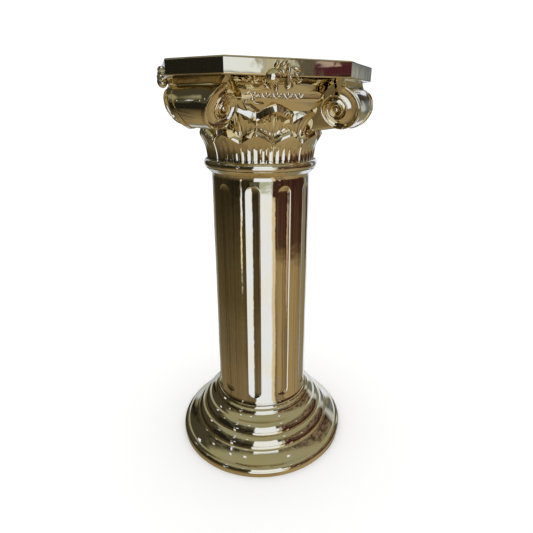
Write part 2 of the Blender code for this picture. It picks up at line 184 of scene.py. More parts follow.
def plated_gold(name, ripple_depth):
    """Pale gold mirror plating: faint haze and fingerprints, and the ripple of the resin below."""
    material = bpy.data.materials.new(name)
    material.use_nodes = True
    tree = material.node_tree
    shader = tree.nodes["Principled BSDF"]
    place = Wire(tree, tree.nodes.new("ShaderNodeTexCoord").outputs["Object"])
    cloud = place.node("ShaderNodeTexNoise", Vector=place, Scale=14.0, Detail=3.0)
    smear = place.node("ShaderNodeTexNoise", Vector=place, Scale=90.0, Detail=4.0, Roughness=0.6)
    ripple = place.node("ShaderNodeTexNoise", Vector=place, Scale=55.0, Detail=1.5)
    red, green, blue = PLATING_TINT
    warm = (red, green * 0.97, blue * 0.90, 1)
    pale = (red * 0.98, green, blue * 1.06, 1)
    colour = cloud.ease(0.35, 0.65).blend(warm, pale)
    haze = 0.035 + 0.05 * smear.ease(0.45, 0.75) * cloud.ease(0.4, 0.7)
    tree.links.new(colour.socket, shader.inputs["Base Color"])
    tree.links.new(haze.socket, shader.inputs["Roughness"])
    shader.inputs["Metallic"].default_value = 1.0
    bump = place.node("ShaderNodeBump", Strength=1.0, Distance=ripple_depth, Height=ripple)
    tree.links.new(bump.socket, shader.inputs["Normal"])
    return material


def step_face(radius, foot, width, rise, steps):
    """Convex face of a step, from its foot up and inwards between the two stated slopes."""
    low, high = STEP_SLOPES
    size = (width / (math.cos(low) - math.cos(high)), rise / (math.sin(high) - math.sin(low)))
    return arc((radius - size[0] * math.cos(low), foot - size[1] * math.sin(low)), size, low, high, steps)


def sagging(first, last, hollow, steps):
    """Points on a slightly hollow slope, both ends left out."""
    share = [i / steps for i in range(1, steps)]
    return [(first[0] + (last[0] - first[0]) * t - hollow * 4 * t * (1 - t),
             first[1] + (last[1] - first[1]) * t - hollow * 4 * t * (1 - t)) for t in share]


steps_foot = RIM_HEIGHT + FLARE_HEIGHT
neck_foot = steps_foot + STEP_COUNT * STEP_RISE
lip_foot = neck_foot + NECK_FLARE_HEIGHT + NECK_STEP_HEIGHT
rim_middle = (RIM_RADIUS - RIM_ROUND, RIM_HEIGHT - RIM_ROUND)
foot_profile = [(FOOT_RADIUS, 0.0), (FOOT_RADIUS + 0.0004, 0.0012)]
foot_profile += arc(rim_middle, (RIM_ROUND, RIM_ROUND), 0, RIM_WRAP, 16)
groove = (FLARE_RADIUS, RIM_HEIGHT + CREASE / 4)
flare_end = (FLARE_RADIUS - FLARE_WIDTH, steps_foot - CREASE)
foot_profile += [groove] + sagging(groove, flare_end, FLARE_HOLLOW, 10) + [flare_end]
radius = STEP_RADIUS
for step in range(STEP_COUNT):
    foot = steps_foot + step * STEP_RISE
    foot_profile += step_face(radius, foot, STEP_WIDTH, STEP_RISE - CREASE, 14)
    radius -= STEP_TREAD
neck = (radius, neck_foot)
neck_end = (radius - NECK_FLARE_WIDTH, neck_foot + NECK_FLARE_HEIGHT)
foot_profile += [neck] + sagging(neck, neck_end, FLARE_HOLLOW / 2, 6) + [neck_end]
foot = neck_end[1] + CREASE
foot_profile += step_face(neck_end[0], foot, NECK_STEP_WIDTH, lip_foot - CREASE - foot, 10)
foot_profile += [(LIP_RADIUS + 0.002, lip_foot), (LIP_RADIUS + 0.0016, BASE_HEIGHT - LIP_HEIGHT / 2)]
foot_profile += [(LIP_RADIUS + 0.0005, BASE_HEIGHT - 0.0006), (LIP_RADIUS - 0.0006, BASE_HEIGHT)]
base_mesh = spun(foot_profile, BASE_TURNS)
hand_rubbed(base_mesh, BASE_WAVE_DEPTH, BASE_WAVE_LENGTH, 0.002, BASE_HEIGHT - 0.001)
finished("plated_base", base_mesh, "base", plated_gold("base_plating", BASE_RIPPLE), BASE_CREASE_DEGREES)

# ---------------------------------------------------------------- Shaft
# The shaft is a separate hollow casting that stands on the foot's lip: a drum with a slight taper,
# a small flare at both ends and ten shallow flutes with round ends, cut into the pattern by a
# ball-ended tool.
SHAFT_FOOT = 0.1023
SHAFT_TOP = 0.5537
SHAFT_FOOT_RADIUS = 0.0910
SHAFT_TOP_RADIUS = 0.0880
END_FLARE = 0.0016
END_FLARE_LENGTH = 0.006
FLUTE_COUNT = 10
FLUTE_WIDTH = 0.0250
FLUTE_FLOOR = 0.0021
FLUTE_STEP = 0.0004
FLUTE_STEP_WIDTH = 0.15
FLUTE_FOOT = SHAFT_FOOT + 0.0165
FLUTE_TOP = SHAFT_TOP - 0.0160
FLUTE_TURN = math.radians(12.2)
SHAFT_TURNS = 720
SHAFT_WAVE_DEPTH = 0.0005
SHAFT_WAVE_LENGTH = 0.08
SHAFT_RIPPLE = 0.0002


def shaft_radius(height):
    share = (height - SHAFT_FOOT) / (SHAFT_TOP - SHAFT_FOOT)
    return SHAFT_FOOT_RADIUS + (SHAFT_TOP_RADIUS - SHAFT_FOOT_RADIUS) * share


def eased(value, low, high):
    """0 below low, 1 above high, smooth between."""
    share = min(max((value - low) / (high - low), 0.0), 1.0)
    return share * share * (3 - 2 * share)


def fluted(angle, height, radius):
    """Radius of the drum in a flute: a shallow hollow floor inside a low rounded step."""
    half = FLUTE_WIDTH / 2
    pitch = math.tau / FLUTE_COUNT
    across = ((angle - FLUTE_TURN + pitch / 2) % pitch - pitch / 2) * radius
    beyond = max(FLUTE_FOOT + half - height, height - FLUTE_TOP + half, 0.0)
    share = math.hypot(across, beyond) / half
    if share > 1:
        return radius
    return radius - FLUTE_FLOOR * (1 - share ** 2) - FLUTE_STEP * eased(1 - share, 0.0, FLUTE_STEP_WIDTH)


foot_rows = line((0, SHAFT_FOOT + END_FLARE_LENGTH), (0, FLUTE_FOOT - 0.001), 4)
foot_rows += line(foot_rows[-1], (0, FLUTE_FOOT + FLUTE_WIDTH / 2), 18)
middle_rows = line(foot_rows[-1], (0, FLUTE_TOP - FLUTE_WIDTH / 2), 34)
top_rows = line(middle_rows[-1], (0, FLUTE_TOP + 0.001), 18)
top_rows += line(top_rows[-1], (0, SHAFT_TOP - END_FLARE_LENGTH), 4)
drum_profile = [
    (SHAFT_FOOT_RADIUS + END_FLARE, SHAFT_FOOT),
    (SHAFT_FOOT_RADIUS + END_FLARE * 0.75, SHAFT_FOOT + END_FLARE_LENGTH * 0.2),
    (SHAFT_FOOT_RADIUS + END_FLARE * 0.28, SHAFT_FOOT + END_FLARE_LENGTH * 0.5),
    (SHAFT_FOOT_RADIUS, SHAFT_FOOT + END_FLARE_LENGTH),
]
drum_profile += [(shaft_radius(z), z) for _, z in foot_rows + middle_rows + top_rows]
drum_profile += [
    (SHAFT_TOP_RADIUS + END_FLARE * 0.28, SHAFT_TOP - END_FLARE_LENGTH * 0.5),
    (SHAFT_TOP_RADIUS + END_FLARE * 0.75, SHAFT_TOP - END_FLARE_LENGTH * 0.2),
    (SHAFT_TOP_RADIUS + END_FLARE, SHAFT_TOP),
]
shaft_mesh = spun(drum_profile, SHAFT_TURNS)
hand_rubbed(shaft_mesh, SHAFT_WAVE_DEPTH, SHAFT_WAVE_LENGTH,
            SHAFT_FOOT + END_FLARE_LENGTH, SHAFT_TOP - END_FLARE_LENGTH)
for vert in shaft_mesh.verts:
    drum = math.hypot(vert.co.x, vert.co.y)
    if FLUTE_FOOT - 0.002 < vert.co.z < FLUTE_TOP + 0.002:
        cut = fluted(math.atan2(vert.co.x, -vert.co.y), vert.co.z, drum) / drum
        vert.co.x *= cut
        vert.co.y *= cut
finished("plated_shaft", shaft_mesh, "shaft", plated_gold("shaft_plating", SHAFT_RIPPLE))

# ---------------------------------------------------------------- Capital: collar and leaves
# The capital is one casting from a carved pattern. At its foot are a sloped band and a round ring,
# and above them two rows of twelve pointed leaves, each with five hollow ribs and a turned-up edge.
CAPITAL_FOOT = 0.554
BAND_HEIGHT = 0.007
BAND_FOOT_RADIUS = 0.0906
BAND_TOP_RADIUS = 0.0981
RING_HEIGHT = 0.0145
RING_PROJECTION = 0.0058
LEAF_COUNT = 12
LEAF_RIBS = 5
LEAF_COLUMNS = 40
CARVING_TURN = math.radians(-3.2)
BELL_RADIUS = 0.0948
LOWER_VALLEY = Vector((0.1000, 0.0500))
LOWER_TIP = Vector((0.1080, 0.0635))
LOWER_EDGE = Vector((-0.0050, 0.0105))
UPPER_VALLEY = Vector((0.1100, 0.0840))
UPPER_TIP = Vector((0.1215, 0.0990))
UPPER_EDGE_VALLEY = Vector((0.0015, 0.0110))
UPPER_EDGE_TIP = Vector((-0.0025, 0.0085))
PANEL_HEIGHT = 0.1160
LOWER_RIB_DEPTH = 0.0013
UPPER_RIB_DEPTH = 0.0008
BODY_ROWS = 16
CAPITAL_WAVE_DEPTH = 0.00025
CAPITAL_WAVE_LENGTH = 0.05
CAPITAL_RIPPLE = 0.00022


def arch(leaf):
    """1 at a leaf's tip and 0 in the valley between two leaves, for a place 0 to 1 across the leaf."""
    return 1 - abs(2 * leaf - 1) ** 1.25


def rib_hollow(across):
    """Depth share of the hollow ribs, with soft ridges between them; across is 0 to 1 over a leaf."""
    if not 0 < across < 1:
        return 0.0
    return math.sin(math.pi * (across * LEAF_RIBS % 1)) ** 1.3


def lower_leaf(row, leaf):
    """(radius, height) on a lower leaf's face; row runs 0 to 1 from the ring to the lip."""
    lip = LOWER_VALLEY.lerp(LOWER_TIP, arch(leaf))
    height = BAND_HEIGHT + RING_HEIGHT * 0.9 + (lip.y - BAND_HEIGHT - RING_HEIGHT * 0.9) * row
    radius = BELL_RADIUS + (lip.x - BELL_RADIUS) * row ** 2.2
    hollow = LOWER_RIB_DEPTH * rib_hollow(leaf) * (1 - eased(row, 0.42, 0.86)) * eased(row, -0.02, 0.10)
    seam = 0.0016 * (1 - eased(abs(leaf - 0.5), 0.5 - 0.03, 0.5) ** 2)
    return radius - hollow - 0.0016 + seam, height


def upper_leaf(row, leaf, foot):
    """(radius, height) on an upper leaf's face, whose ribs fan out from its root."""
    lip = UPPER_VALLEY.lerp(UPPER_TIP, arch(leaf))
    spread = 0.62 + 0.38 * row
    across = 0.5 + (leaf - 0.5) / spread
    hollow = UPPER_RIB_DEPTH * rib_hollow(across) * (1 - eased(row, 0.55, 0.92))
    radius = foot.x + (lip.x - foot.x) * (0.25 * row + 0.75 * row ** 2)
    return radius - hollow, foot.y + (lip.y - foot.y) * row


rows = [("lower", i / BODY_ROWS) for i in range(BODY_ROWS + 1)]
rows += [("lower_bevel", share) for share in (0.08, 0.5, 0.93, 1.0)]
rows += [("upper", i / BODY_ROWS) for i in range(BODY_ROWS + 1)]
rows += [("upper_bevel", share) for share in (0.08, 0.5, 0.92, 1.0)]
rows += [("band", share) for share in (0.5, 1.0)]


def bell_point(kind, row, turn):
    """(radius, height above the capital's foot) of the leafy bell."""
    lower = turn / math.tau * LEAF_COUNT % 1.0
    upper = (lower + 0.5) % 1.0
    lower_lip = Vector(lower_leaf(1.0, lower))
    lower_edge = lower_lip + LOWER_EDGE
    if kind == "lower":
        return lower_leaf(row, lower)
    if kind == "lower_bevel":
        bulge = 0.0006 * math.sin(math.pi * row)
        point = lower_lip + LOWER_EDGE * row
        return point.x + bulge, point.y + bulge
    foot = lower_edge + Vector((-0.0022, -0.0008))
    if kind == "upper":
        return upper_leaf(row, upper, foot)
    lip = Vector(upper_leaf(1.0, upper, foot))
    edge = UPPER_EDGE_VALLEY.lerp(UPPER_EDGE_TIP, arch(upper))
    if kind == "upper_bevel":
        point = lip + edge * row
        return point.x, point.y
    inner = Vector((0.1055, PANEL_HEIGHT))
    point = (lip + edge).lerp(inner, row)
    return point.x, point.y


# The bell starts as a plain drum whose rows stand at marked heights, and each point is then moved.
MARK_FOOT = 0.02
MARK_STEP = 0.001
hem = (BELL_RADIUS - 0.002, BAND_HEIGHT * 0.9)
bell_wire = [hem] + [(BELL_RADIUS, MARK_FOOT + MARK_STEP * i) for i in range(len(rows))]
bell = spun(bell_wire, LEAF_COUNT * LEAF_COLUMNS)
for vert in bell.verts:
    turn = math.atan2(vert.co.x, -vert.co.y) % math.tau
    index = round((vert.co.z - MARK_FOOT) / MARK_STEP)
    reach, height = bell_point(*rows[index], turn) if index >= 0 else hem
    angle = turn + CARVING_TURN
    vert.co = Vector((reach * math.sin(angle), -reach * math.cos(angle), CAPITAL_FOOT + height))
bmesh.ops.recalc_face_normals(bell, faces=bell.faces)

ring_middle = CAPITAL_FOOT + BAND_HEIGHT + RING_HEIGHT / 2
collar_profile = [(BAND_FOOT_RADIUS, CAPITAL_FOOT), (BAND_FOOT_RADIUS + 0.0006, CAPITAL_FOOT + 0.0004)]
collar_profile += line(collar_profile[-1], (BAND_TOP_RADIUS, CAPITAL_FOOT + BAND_HEIGHT), 4)
collar_profile += arc((BELL_RADIUS, ring_middle), (RING_PROJECTION, RING_HEIGHT / 2),
                      math.radians(-62), math.radians(80), 14)
collar_profile.append((BELL_RADIUS - 0.004, CAPITAL_FOOT + BAND_HEIGHT + RING_HEIGHT))
collar = spun(collar_profile, 160)

# ---------------------------------------------------------------- Capital: panel, cove and slab
# Above the leaves the casting turns eight-sided: a thin lip, a strip with a row of small eggs, a
# hollow cove and the slab. Its edges are rounded over where the pattern was sanded.
PANEL_APOTHEM = 0.1230
PANEL_DIAGONAL = 0.1290
SLAB_HEIGHT = 0.1430
SLAB_THICKNESS = 0.0230
SLAB_APOTHEM = 0.1590
SLAB_DIAGONAL = 0.1760
SLAB_ROUND = 0.0026
COVE_ROWS = 14
# The panel's levels, as shares of the way out to the slab and of the cove's height above the lip.
PANEL_LEVELS = ((-0.38, -0.60), (-0.06, -0.16), (0.02, -0.02), (0.03, 0.02), (-0.02, 0.06))


def octagon(bm, apothem, diagonal, height):
    """Edge loop of a square with cut corners, from half its widths over the flats and the corners."""
    half = diagonal * math.sqrt(2) - apothem
    corners = [(half, -apothem), (apothem, -half), (apothem, half), (half, apothem)]
    corners += [(-x, -y) for x, y in corners]
    verts = [bm.verts.new((x, y, CAPITAL_FOOT + height)) for x, y in corners]
    return [bm.edges.new((a, b)) for a, b in zip(verts, verts[1:] + verts[:1])]


cove = SLAB_HEIGHT - PANEL_HEIGHT
slab_top = SLAB_HEIGHT + SLAB_THICKNESS
levels = [(share, PANEL_HEIGHT + rise * cove) for share, rise in PANEL_LEVELS]
for i in range(COVE_ROWS + 1):
    t = QUARTER * i / COVE_ROWS
    rise = 0.08 + 0.915 * math.sin(t) ** 1.15
    levels.append((-0.02 + 0.92 * (1 - math.cos(t)) ** 0.8, PANEL_HEIGHT + rise * cove))
reach = SLAB_APOTHEM - PANEL_APOTHEM
levels.append((1 - SLAB_ROUND / reach, SLAB_HEIGHT))
for centre, start in ((SLAB_HEIGHT + SLAB_ROUND, -QUARTER), (slab_top - SLAB_ROUND, 0.0)):
    for share, rise in arc((0, 0), (SLAB_ROUND / reach, SLAB_ROUND), start, start + QUARTER, 4):
        levels.append((1 - SLAB_ROUND / reach + share, centre + rise))
slab = bmesh.new()
loops = []
for share, height in levels:
    apothem = PANEL_APOTHEM + reach * share
    loops.append(octagon(slab, apothem, PANEL_DIAGONAL + (SLAB_DIAGONAL - PANEL_DIAGONAL) * share, height))
for lower_loop, upper_loop in zip(loops, loops[1:]):
    bmesh.ops.bridge_loops(slab, edges=lower_loop + upper_loop)
bmesh.ops.remove_doubles(slab, verts=slab.verts, dist=1e-6)
bmesh.ops.holes_fill(slab, edges=[e for e in slab.edges if e.is_boundary], sides=0)
bmesh.ops.recalc_face_normals(slab, faces=slab.faces)

# ---------------------------------------------------------------- Capital: corner scrolls
# Each corner carries a thick scroll under the slab: a roll with a raised rim at both ends, whose
# cheeks show a spiral fillet with a hollow channel that winds in to a small eye.
SCROLL_RADIUS = 0.0363
SCROLL_TIGHTENING = 0.17
SCROLL_INNER_TIGHTENING = 0.085
SCROLL_INNER_TURN = math.radians(138)
SCROLL_TURNS = 2.85
SCROLL_EYE = Vector((0.1525, 0.1022))
SCROLL_EYE_RADIUS = 0.0042
SCROLL_HALF_WIDTH = 0.0372
SCROLL_TAPER_UP = 0.442
SCROLL_TAPER_OUT = -0.155
NECK_TURN = math.radians(62)
NECK_SLIMMING = 0.03
NECK_WIDTH = 0.0055
ROLL_END_TURN = math.radians(285)
SCROLL_TURN = math.radians(-1.1)
ROOT_DISTANCE = 0.0980
ROOT_HEIGHT = 0.0680
ROOT_HALF_WIDTH = 0.0190
ROOT_SPREAD = 0.30
FILLET_RISE = 0.0040
FILLET_WIDTH = 0.0030
FILLET_ROOT = 0.0046
STEPS_IN_A_TURN = 44
CHEEK_SINK = 0.0070
ROLL_STEPS = 80


def scroll_radius(turn):
    """Distance of the spiral from its eye, turn counted from the outermost point."""
    if turn < 0:
        return SCROLL_RADIUS * (1 - NECK_SLIMMING * turn ** 2)
    outer = min(turn, SCROLL_INNER_TURN)
    return SCROLL_RADIUS * math.exp(-SCROLL_TIGHTENING * outer - SCROLL_INNER_TIGHTENING * (turn - outer))


def cheek(distance, height):
    """Half width of the roll at a place in the corner's middle plane."""
    return (SCROLL_HALF_WIDTH + SCROLL_TAPER_UP * (height - SCROLL_EYE.y)
            + SCROLL_TAPER_OUT * (distance - SCROLL_EYE.x))


def corner_point(angle, distance, across, height):
    out = Vector((math.sin(angle), -math.cos(angle), 0))
    side = Vector((math.cos(angle), math.sin(angle), 0))
    return out * distance + side * across + Vector((0, 0, CAPITAL_FOOT + height))


def spiral_point(turn, inset=0.0):
    radius = scroll_radius(turn) - inset
    return SCROLL_EYE.x + radius * math.cos(turn), SCROLL_EYE.y - radius * math.sin(turn)


def lofted(rings):
    """Closed body through rings of equally many points, bridged one after the other."""
    bm = bmesh.new()
    edge_loops = []
    for ring in rings:
        verts = [bm.verts.new(point) for point in ring]
        edge_loops.append([bm.edges.new((a, b)) for a, b in zip(verts, verts[1:] + verts[:1])])
    for first, second in zip(edge_loops, edge_loops[1:]):
        bmesh.ops.bridge_loops(bm, edges=first + second)
    bmesh.ops.contextual_create(bm, geom=edge_loops[0])
    bmesh.ops.contextual_create(bm, geom=edge_loops[-1])
    bmesh.ops.recalc_face_normals(bm, faces=bm.faces)
    return bm


def roll(angle):
    """Body of one scroll, from the slab round the roll and up its inner side, with raised rims."""
    turns = [-NECK_TURN + (ROLL_END_TURN + NECK_TURN) * i / ROLL_STEPS for i in range(ROLL_STEPS + 1)]
    inside = SLAB_HEIGHT + SLAB_THICKNESS / 3
    # share of the half width, and how deep the roll's face lies there below the rim's
    section = [(1.0, 0.0010), (0.985, 0.0014), (0.955, 0.0018), (0.6, 0.0016), (0.3, 0.0014), (0.0, 0.0013)]
    section += [(-share, inset) for share, inset in reversed(section[:-1])]
    rings = []
    for share, inset in section:
        outline = [spiral_point(turn, inset) for turn in turns]
        outline.insert(0, (outline[0][0] - 0.25 * SCROLL_RADIUS, inside))
        outline.append((outline[0][0] - NECK_WIDTH, inside))
        rings.append([corner_point(angle, d, share * (cheek(d, z) - CHEEK_SINK), z) for d, z in outline])
    return lofted(rings)


def root(angle):
    """Web that ties a roll to the bell behind it."""
    under = spiral_point(math.radians(95))
    inside = SLAB_HEIGHT + SLAB_THICKNESS / 4
    outline = [(ROOT_DISTANCE, ROOT_HEIGHT), (under[0], under[1] + 0.001),
               (under[0], inside), (ROOT_DISTANCE, inside)]
    shares = (-1.0, -0.93, -0.6, 0.0, 0.6, 0.93, 1.0)
    drops = (0.0035, 0.0012, 0.0003, 0.0, 0.0003, 0.0012, 0.0035)
    widths = [ROOT_HALF_WIDTH + ROOT_SPREAD * (z - ROOT_HEIGHT) for _, z in outline]
    return lofted([[corner_point(angle, d, share * width, z + (drop if z < 0.1 else 0.0))
                    for (d, z), width in zip(outline, widths)] for share, drop in zip(shares, drops)])


def winding(angle, side):
    """Spiral fillet with the hollow channel beside it, wound in towards the eye."""
    start = -NECK_TURN * 1.12
    steps = round(SCROLL_TURNS * STEPS_IN_A_TURN)
    rings = []
    for i in range(steps + 1):
        turn = start + (SCROLL_TURNS * math.tau - start) * i / steps
        full = scroll_radius(turn)
        gap = full - scroll_radius(turn + math.tau)
        scale = 0.45 + 0.55 * full / SCROLL_RADIUS
        fillet = FILLET_WIDTH * (0.35 + 0.65 * full / SCROLL_RADIUS)
        channel = gap - fillet
        section = ((0.0006, -FILLET_ROOT), (0.0001, 0.0004), (0.0, 0.0028 * scale),
                   (0.0004, 0.0036 * scale), (fillet * 0.5, 0.0040 * scale),
                   (fillet * 0.9, 0.0034 * scale), (fillet * 1.15, 0.0014 * scale),
                   (fillet + channel * 0.2, -0.0010), (fillet + channel * 0.45, -0.0022),
                   (fillet + channel * 0.75, -0.0014), (gap + 0.0006, 0.0002), (gap + 0.0006, -FILLET_ROOT))
        ring = []
        for inset, rise in section:
            d, z = spiral_point(turn, inset)
            ring.append(corner_point(angle, d, side * (cheek(d, z) - FILLET_RISE + 0.0004 + rise), z))
        rings.append(ring)
    return lofted(rings)


def eye(angle, side):
    """Small round boss at the middle of a cheek."""
    d, z = SCROLL_EYE
    spot = corner_point(angle, d, side * (cheek(d, z) - FILLET_RISE), z)
    bm = bmesh.new()
    bmesh.ops.create_uvsphere(bm, u_segments=20, v_segments=12, radius=SCROLL_EYE_RADIUS,
                              matrix=Matrix.Translation(spot))
    return bm


bodies = [bell, collar, slab]
for quarter in range(4):
    corner = quarter * QUARTER + QUARTER / 2 + SCROLL_TURN
    bodies += [roll(corner), root(corner)]
    for side in (-1, 1):
        bodies += [winding(corner, side), eye(corner, side)]

# ---------------------------------------------------------------- Capital: eggs, flowers and branches
# The middle of each side has five small eggs in round frames on the strip, with darts between them,
# and a flower that hangs over the slab's face. A small branch stands beside the left scroll.
EGG_COUNT = 5
EGG_PITCH = 0.0166
EGG_HEIGHT = PANEL_HEIGHT + 0.27 * cove
EGG_FRAME = (0.0058, 0.0062, 0.0014)
FLOWER_HEIGHT = SLAB_HEIGHT + 0.0065
# place along the side and up from the flower's middle, length, width, turn in degrees, rise
PETALS = (
    (-0.0146, -0.0070, 0.0115, 0.0102, 20, 0.0085),
    (-0.0105, 0.0088, 0.0060, 0.0030, 60, 0.0062),
    (-0.0011, 0.0092, 0.0076, 0.0036, 42, 0.0070),
    (-0.0026, -0.0012, 0.0078, 0.0045, -40, 0.0088),
    (0.0079, -0.0078, 0.0068, 0.0032, -55, 0.0064),
    (0.0055, 0.0022, 0.0080, 0.0038, 85, 0.0078),
    (0.0177, 0.0030, 0.0080, 0.0034, -18, 0.0050),
    (0.0176, -0.0042, 0.0050, 0.0028, -35, 0.0045),
)
# three buds in the cove below it: place along and up from the flower's middle, turn in degrees
BUDS = ((-0.0155, -0.0190, -30), (-0.0030, -0.0200, 80), (0.0165, -0.0185, 25))
BUD_INSET = SLAB_APOTHEM - PANEL_APOTHEM - 0.009
# place along the side and up from the capital's foot, inset, length, width, turn in degrees, rise
BRANCH = (
    (-0.0485, 0.1290, 0.0, 0.0088, 0.0017, 15, 0.0030),
    (-0.0484, 0.1238, 0.0, 0.0088, 0.0017, 27, 0.0030),
    (-0.0440, 0.1150, 0.0, 0.0036, 0.0034, 0, 0.0034),
    (-0.0530, 0.1125, 0.0015, 0.0050, 0.0020, 60, 0.0030),
    (-0.0350, 0.1092, 0.0040, 0.0098, 0.0015, -8, 0.0028),
)


def pebble(place, along, up, out, turn=0.0, facets=14):
    """Smooth knob on a face of the capital: a ball drawn out along its own three directions."""
    bm = bmesh.new()
    first = along.normalized() * math.cos(turn) + up.normalized() * math.sin(turn)
    second = -along.normalized() * math.sin(turn) + up.normalized() * math.cos(turn)
    axes = Matrix((first * along.length, second * up.length, out)).transposed().to_4x4()
    bmesh.ops.create_uvsphere(bm, u_segments=facets, v_segments=8, radius=1.0,
                              matrix=Matrix.Translation(place) @ axes)
    bmesh.ops.recalc_face_normals(bm, faces=bm.faces)
    return bm


def hoop(place, along, up, out, width, height, thickness):
    """Oval ring on a face, spun from a small circle."""
    bm = bmesh.new()
    upright = Matrix.Translation((1, 0, 0)) @ Matrix.Rotation(QUARTER, 4, "X")
    circle = bmesh.ops.create_circle(bm, segments=8, radius=thickness, matrix=upright)["verts"]
    edges = list({edge for vert in circle for edge in vert.link_edges})
    bmesh.ops.scale(bm, vec=(1 / width, 1, 1), space=Matrix.Translation((-1, 0, 0)), verts=circle)
    bmesh.ops.spin(bm, geom=circle + edges, cent=(0, 0, 0), axis=(0, 0, 1), angle=math.tau,
                   steps=20, use_merge=True)
    bmesh.ops.remove_doubles(bm, verts=bm.verts, dist=1e-6)
    axes = Matrix((along * width, up * height, out)).transposed().to_4x4()
    bmesh.ops.transform(bm, matrix=Matrix.Translation(place) @ axes, verts=bm.verts)
    bmesh.ops.recalc_face_normals(bm, faces=bm.faces)
    return bm


for quarter in range(4):
    face = quarter * QUARTER
    along = Vector((math.cos(face), math.sin(face), 0))
    out = Vector((math.sin(face), -math.cos(face), 0))
    up = Vector((0, 0, 1))
    shift = math.tan(CARVING_TURN) * PANEL_APOTHEM
    for i in range(EGG_COUNT):
        slot = shift + (i - (EGG_COUNT - 1) / 2) * EGG_PITCH
        spot = along * slot + out * PANEL_APOTHEM + up * (CAPITAL_FOOT + EGG_HEIGHT)
        bodies.append(hoop(spot, along, up, out, *EGG_FRAME))
        bodies.append(pebble(spot, along * 0.0031, up * 0.0037, out * 0.0024))
        ledge = spot - up * 0.0066
        bodies.append(pebble(ledge, along * EGG_PITCH * 0.45, up * 0.0011, out * 0.0026, facets=12))
        if i:
            dart = spot - along * EGG_PITCH / 2 - up * 0.0015
            bodies.append(pebble(dart, along * 0.0011, up * 0.0052, out * 0.0018, facets=8))
    middle = along * math.tan(CARVING_TURN) * SLAB_APOTHEM + out * SLAB_APOTHEM
    middle += up * (CAPITAL_FOOT + FLOWER_HEIGHT)
    for x, z, length, width, turn, rise in PETALS:
        spot = middle + along * x + up * z
        bodies.append(pebble(spot, along * length, up * width, out * rise, math.radians(turn), 16))
    for x, z, turn in BUDS:
        spot = middle - out * BUD_INSET + along * x + up * z
        bodies.append(pebble(spot, along * 0.0070, up * 0.0032, out * 0.0042, math.radians(turn), 12))
    for x, z, inset, length, width, turn, rise in BRANCH:
        spot = along * x + out * (PANEL_APOTHEM - inset) + up * (CAPITAL_FOOT + z)
        bodies.append(pebble(spot, along * length, up * width, out * rise, math.radians(turn), 12))

parts = []
for count, body in enumerate(bodies):
    mesh = bpy.data.meshes.new(f"carving_{count}")
    body.to_mesh(mesh)
    body.free()
    parts.append(bpy.data.objects.new(mesh.name, mesh))
    bpy.context.scene.collection.objects.link(parts[-1])
carvings = bpy.data.collections.new("carvings")
bpy.context.scene.collection.children.link(carvings)
for part in parts[1:]:
    bpy.context.scene.collection.objects.unlink(part)
    carvings.objects.link(part)
joined = parts[0].modifiers.new("joined", "BOOLEAN")
joined.operation = "UNION"
joined.operand_type = "COLLECTION"
joined.collection = carvings
joined.solver = "MANIFOLD"
cast = bpy.data.meshes.new_from_object(parts[0].evaluated_get(bpy.context.evaluated_depsgraph_get()))
for part in parts:
    bpy.data.objects.remove(part)
bpy.data.collections.remove(carvings)
capital_mesh = bmesh.new()
capital_mesh.from_mesh(cast)
bpy.data.meshes.remove(cast)
bmesh.ops.dissolve_degenerate(capital_mesh, edges=capital_mesh.edges, dist=1e-6)
hand_rubbed(capital_mesh, CAPITAL_WAVE_DEPTH, CAPITAL_WAVE_LENGTH, CAPITAL_FOOT + 0.0005, 0.7195)
finished("plated_capital", capital_mesh, "capital", plated_gold("capital_plating", CAPITAL_RIPPLE))

# ---------------------------------------------------------------- Studio
# A pale floor and white surroundings for the camera. The mirror finish sees a darker room with a
# few soft panels of light, set out by the directions in which they stand from the pedestal.
CAMERA_TURN = math.radians(14.68)
floor_mesh = bmesh.new()
bmesh.ops.create_grid(floor_mesh, x_segments=1, y_segments=1, size=6.0)
floor_data = bpy.data.meshes.new("studio_floor")
floor_mesh.to_mesh(floor_data)
floor_mesh.free()
studio_floor = bpy.data.objects.new("studio_floor", floor_data)
bpy.context.scene.collection.objects.link(studio_floor)
studio_floor.visible_glossy = False
floor_paint = bpy.data.materials.new("floor_paint")
floor_paint.use_nodes = True
floor_paint.node_tree.nodes["Principled BSDF"].inputs["Base Color"].default_value = (0.96, 0.96, 0.96, 1)
floor_paint.node_tree.nodes["Principled BSDF"].inputs["Roughness"].default_value = 0.9
floor_data.materials.append(floor_paint)

room = bpy.data.worlds.new("studio_room")
bpy.context.scene.world = room
room.use_nodes = True
tree = room.node_tree
tree.nodes.clear()
look = Wire(tree, tree.nodes.new("ShaderNodeTexCoord").outputs["Generated"])
turned_look = look.node("ShaderNodeVectorRotate", {"rotation_type": "Z_AXIS"}, Vector=look, Angle=CAMERA_TURN)
split = tree.nodes.new("ShaderNodeSeparateXYZ")
tree.links.new(turned_look.socket, split.inputs[0])
x, y, z = (Wire(tree, socket) for socket in split.outputs)
azimuth = look.math("ARCTAN2", x, -1.0 * y) * (180 / math.pi)
elevation = look.math("ARCSINE", z) * (180 / math.pi)


def within(angle, low, high, soft):
    """1 between two angles in degrees, fading to 0 over the soft width outside them."""
    return angle.ease(low - soft, low + soft) * (1 - angle.ease(high - soft, high + soft))


def by_height(*stops):
    """Colours up the room's wall, from straight down (-90 degrees) to straight up (90)."""
    places = tuple((degrees / 180 + 0.5, colour) for degrees, colour in stops)
    return elevation.node("ShaderNodeValToRGB", {"stops": places}, Fac=elevation / 180 + 0.5)


